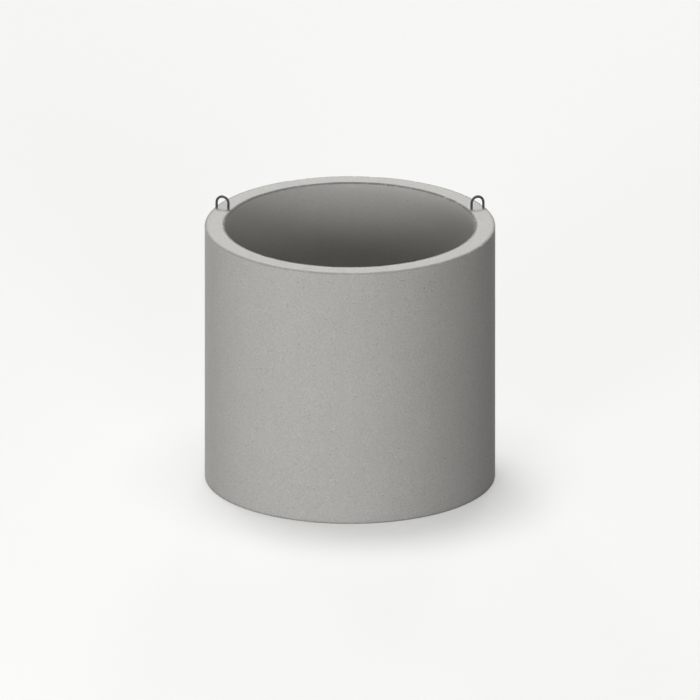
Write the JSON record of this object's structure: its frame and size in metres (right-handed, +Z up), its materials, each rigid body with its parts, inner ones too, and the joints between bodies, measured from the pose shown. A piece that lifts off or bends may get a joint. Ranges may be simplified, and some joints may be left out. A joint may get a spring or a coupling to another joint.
{
  "type": "concrete manhole ring",
  "caption": "Plain precast concrete ring wall for a manhole shaft, with flat ends and bent steel lifting loops cast into its rim.",
  "frame": {"origin": "centre of the lower face, on the axis of the bore", "axes": "+Z up along the axis of the bore, towards the rim with the lifting loops; +Y towards the side that the loops stand behind; +X towards the right-hand loop"},
  "size_m": [1.16, 1.16, 1.057],
  "materials": {
    "concrete": "matte",
    "lifting_steel": "matte"
  },
  "bodies": {
    "root": {"ring_wall": "concrete", "lifting_loop_left": "lifting_steel", "lifting_loop_right": "lifting_steel"}
  },
  "joints": []
}
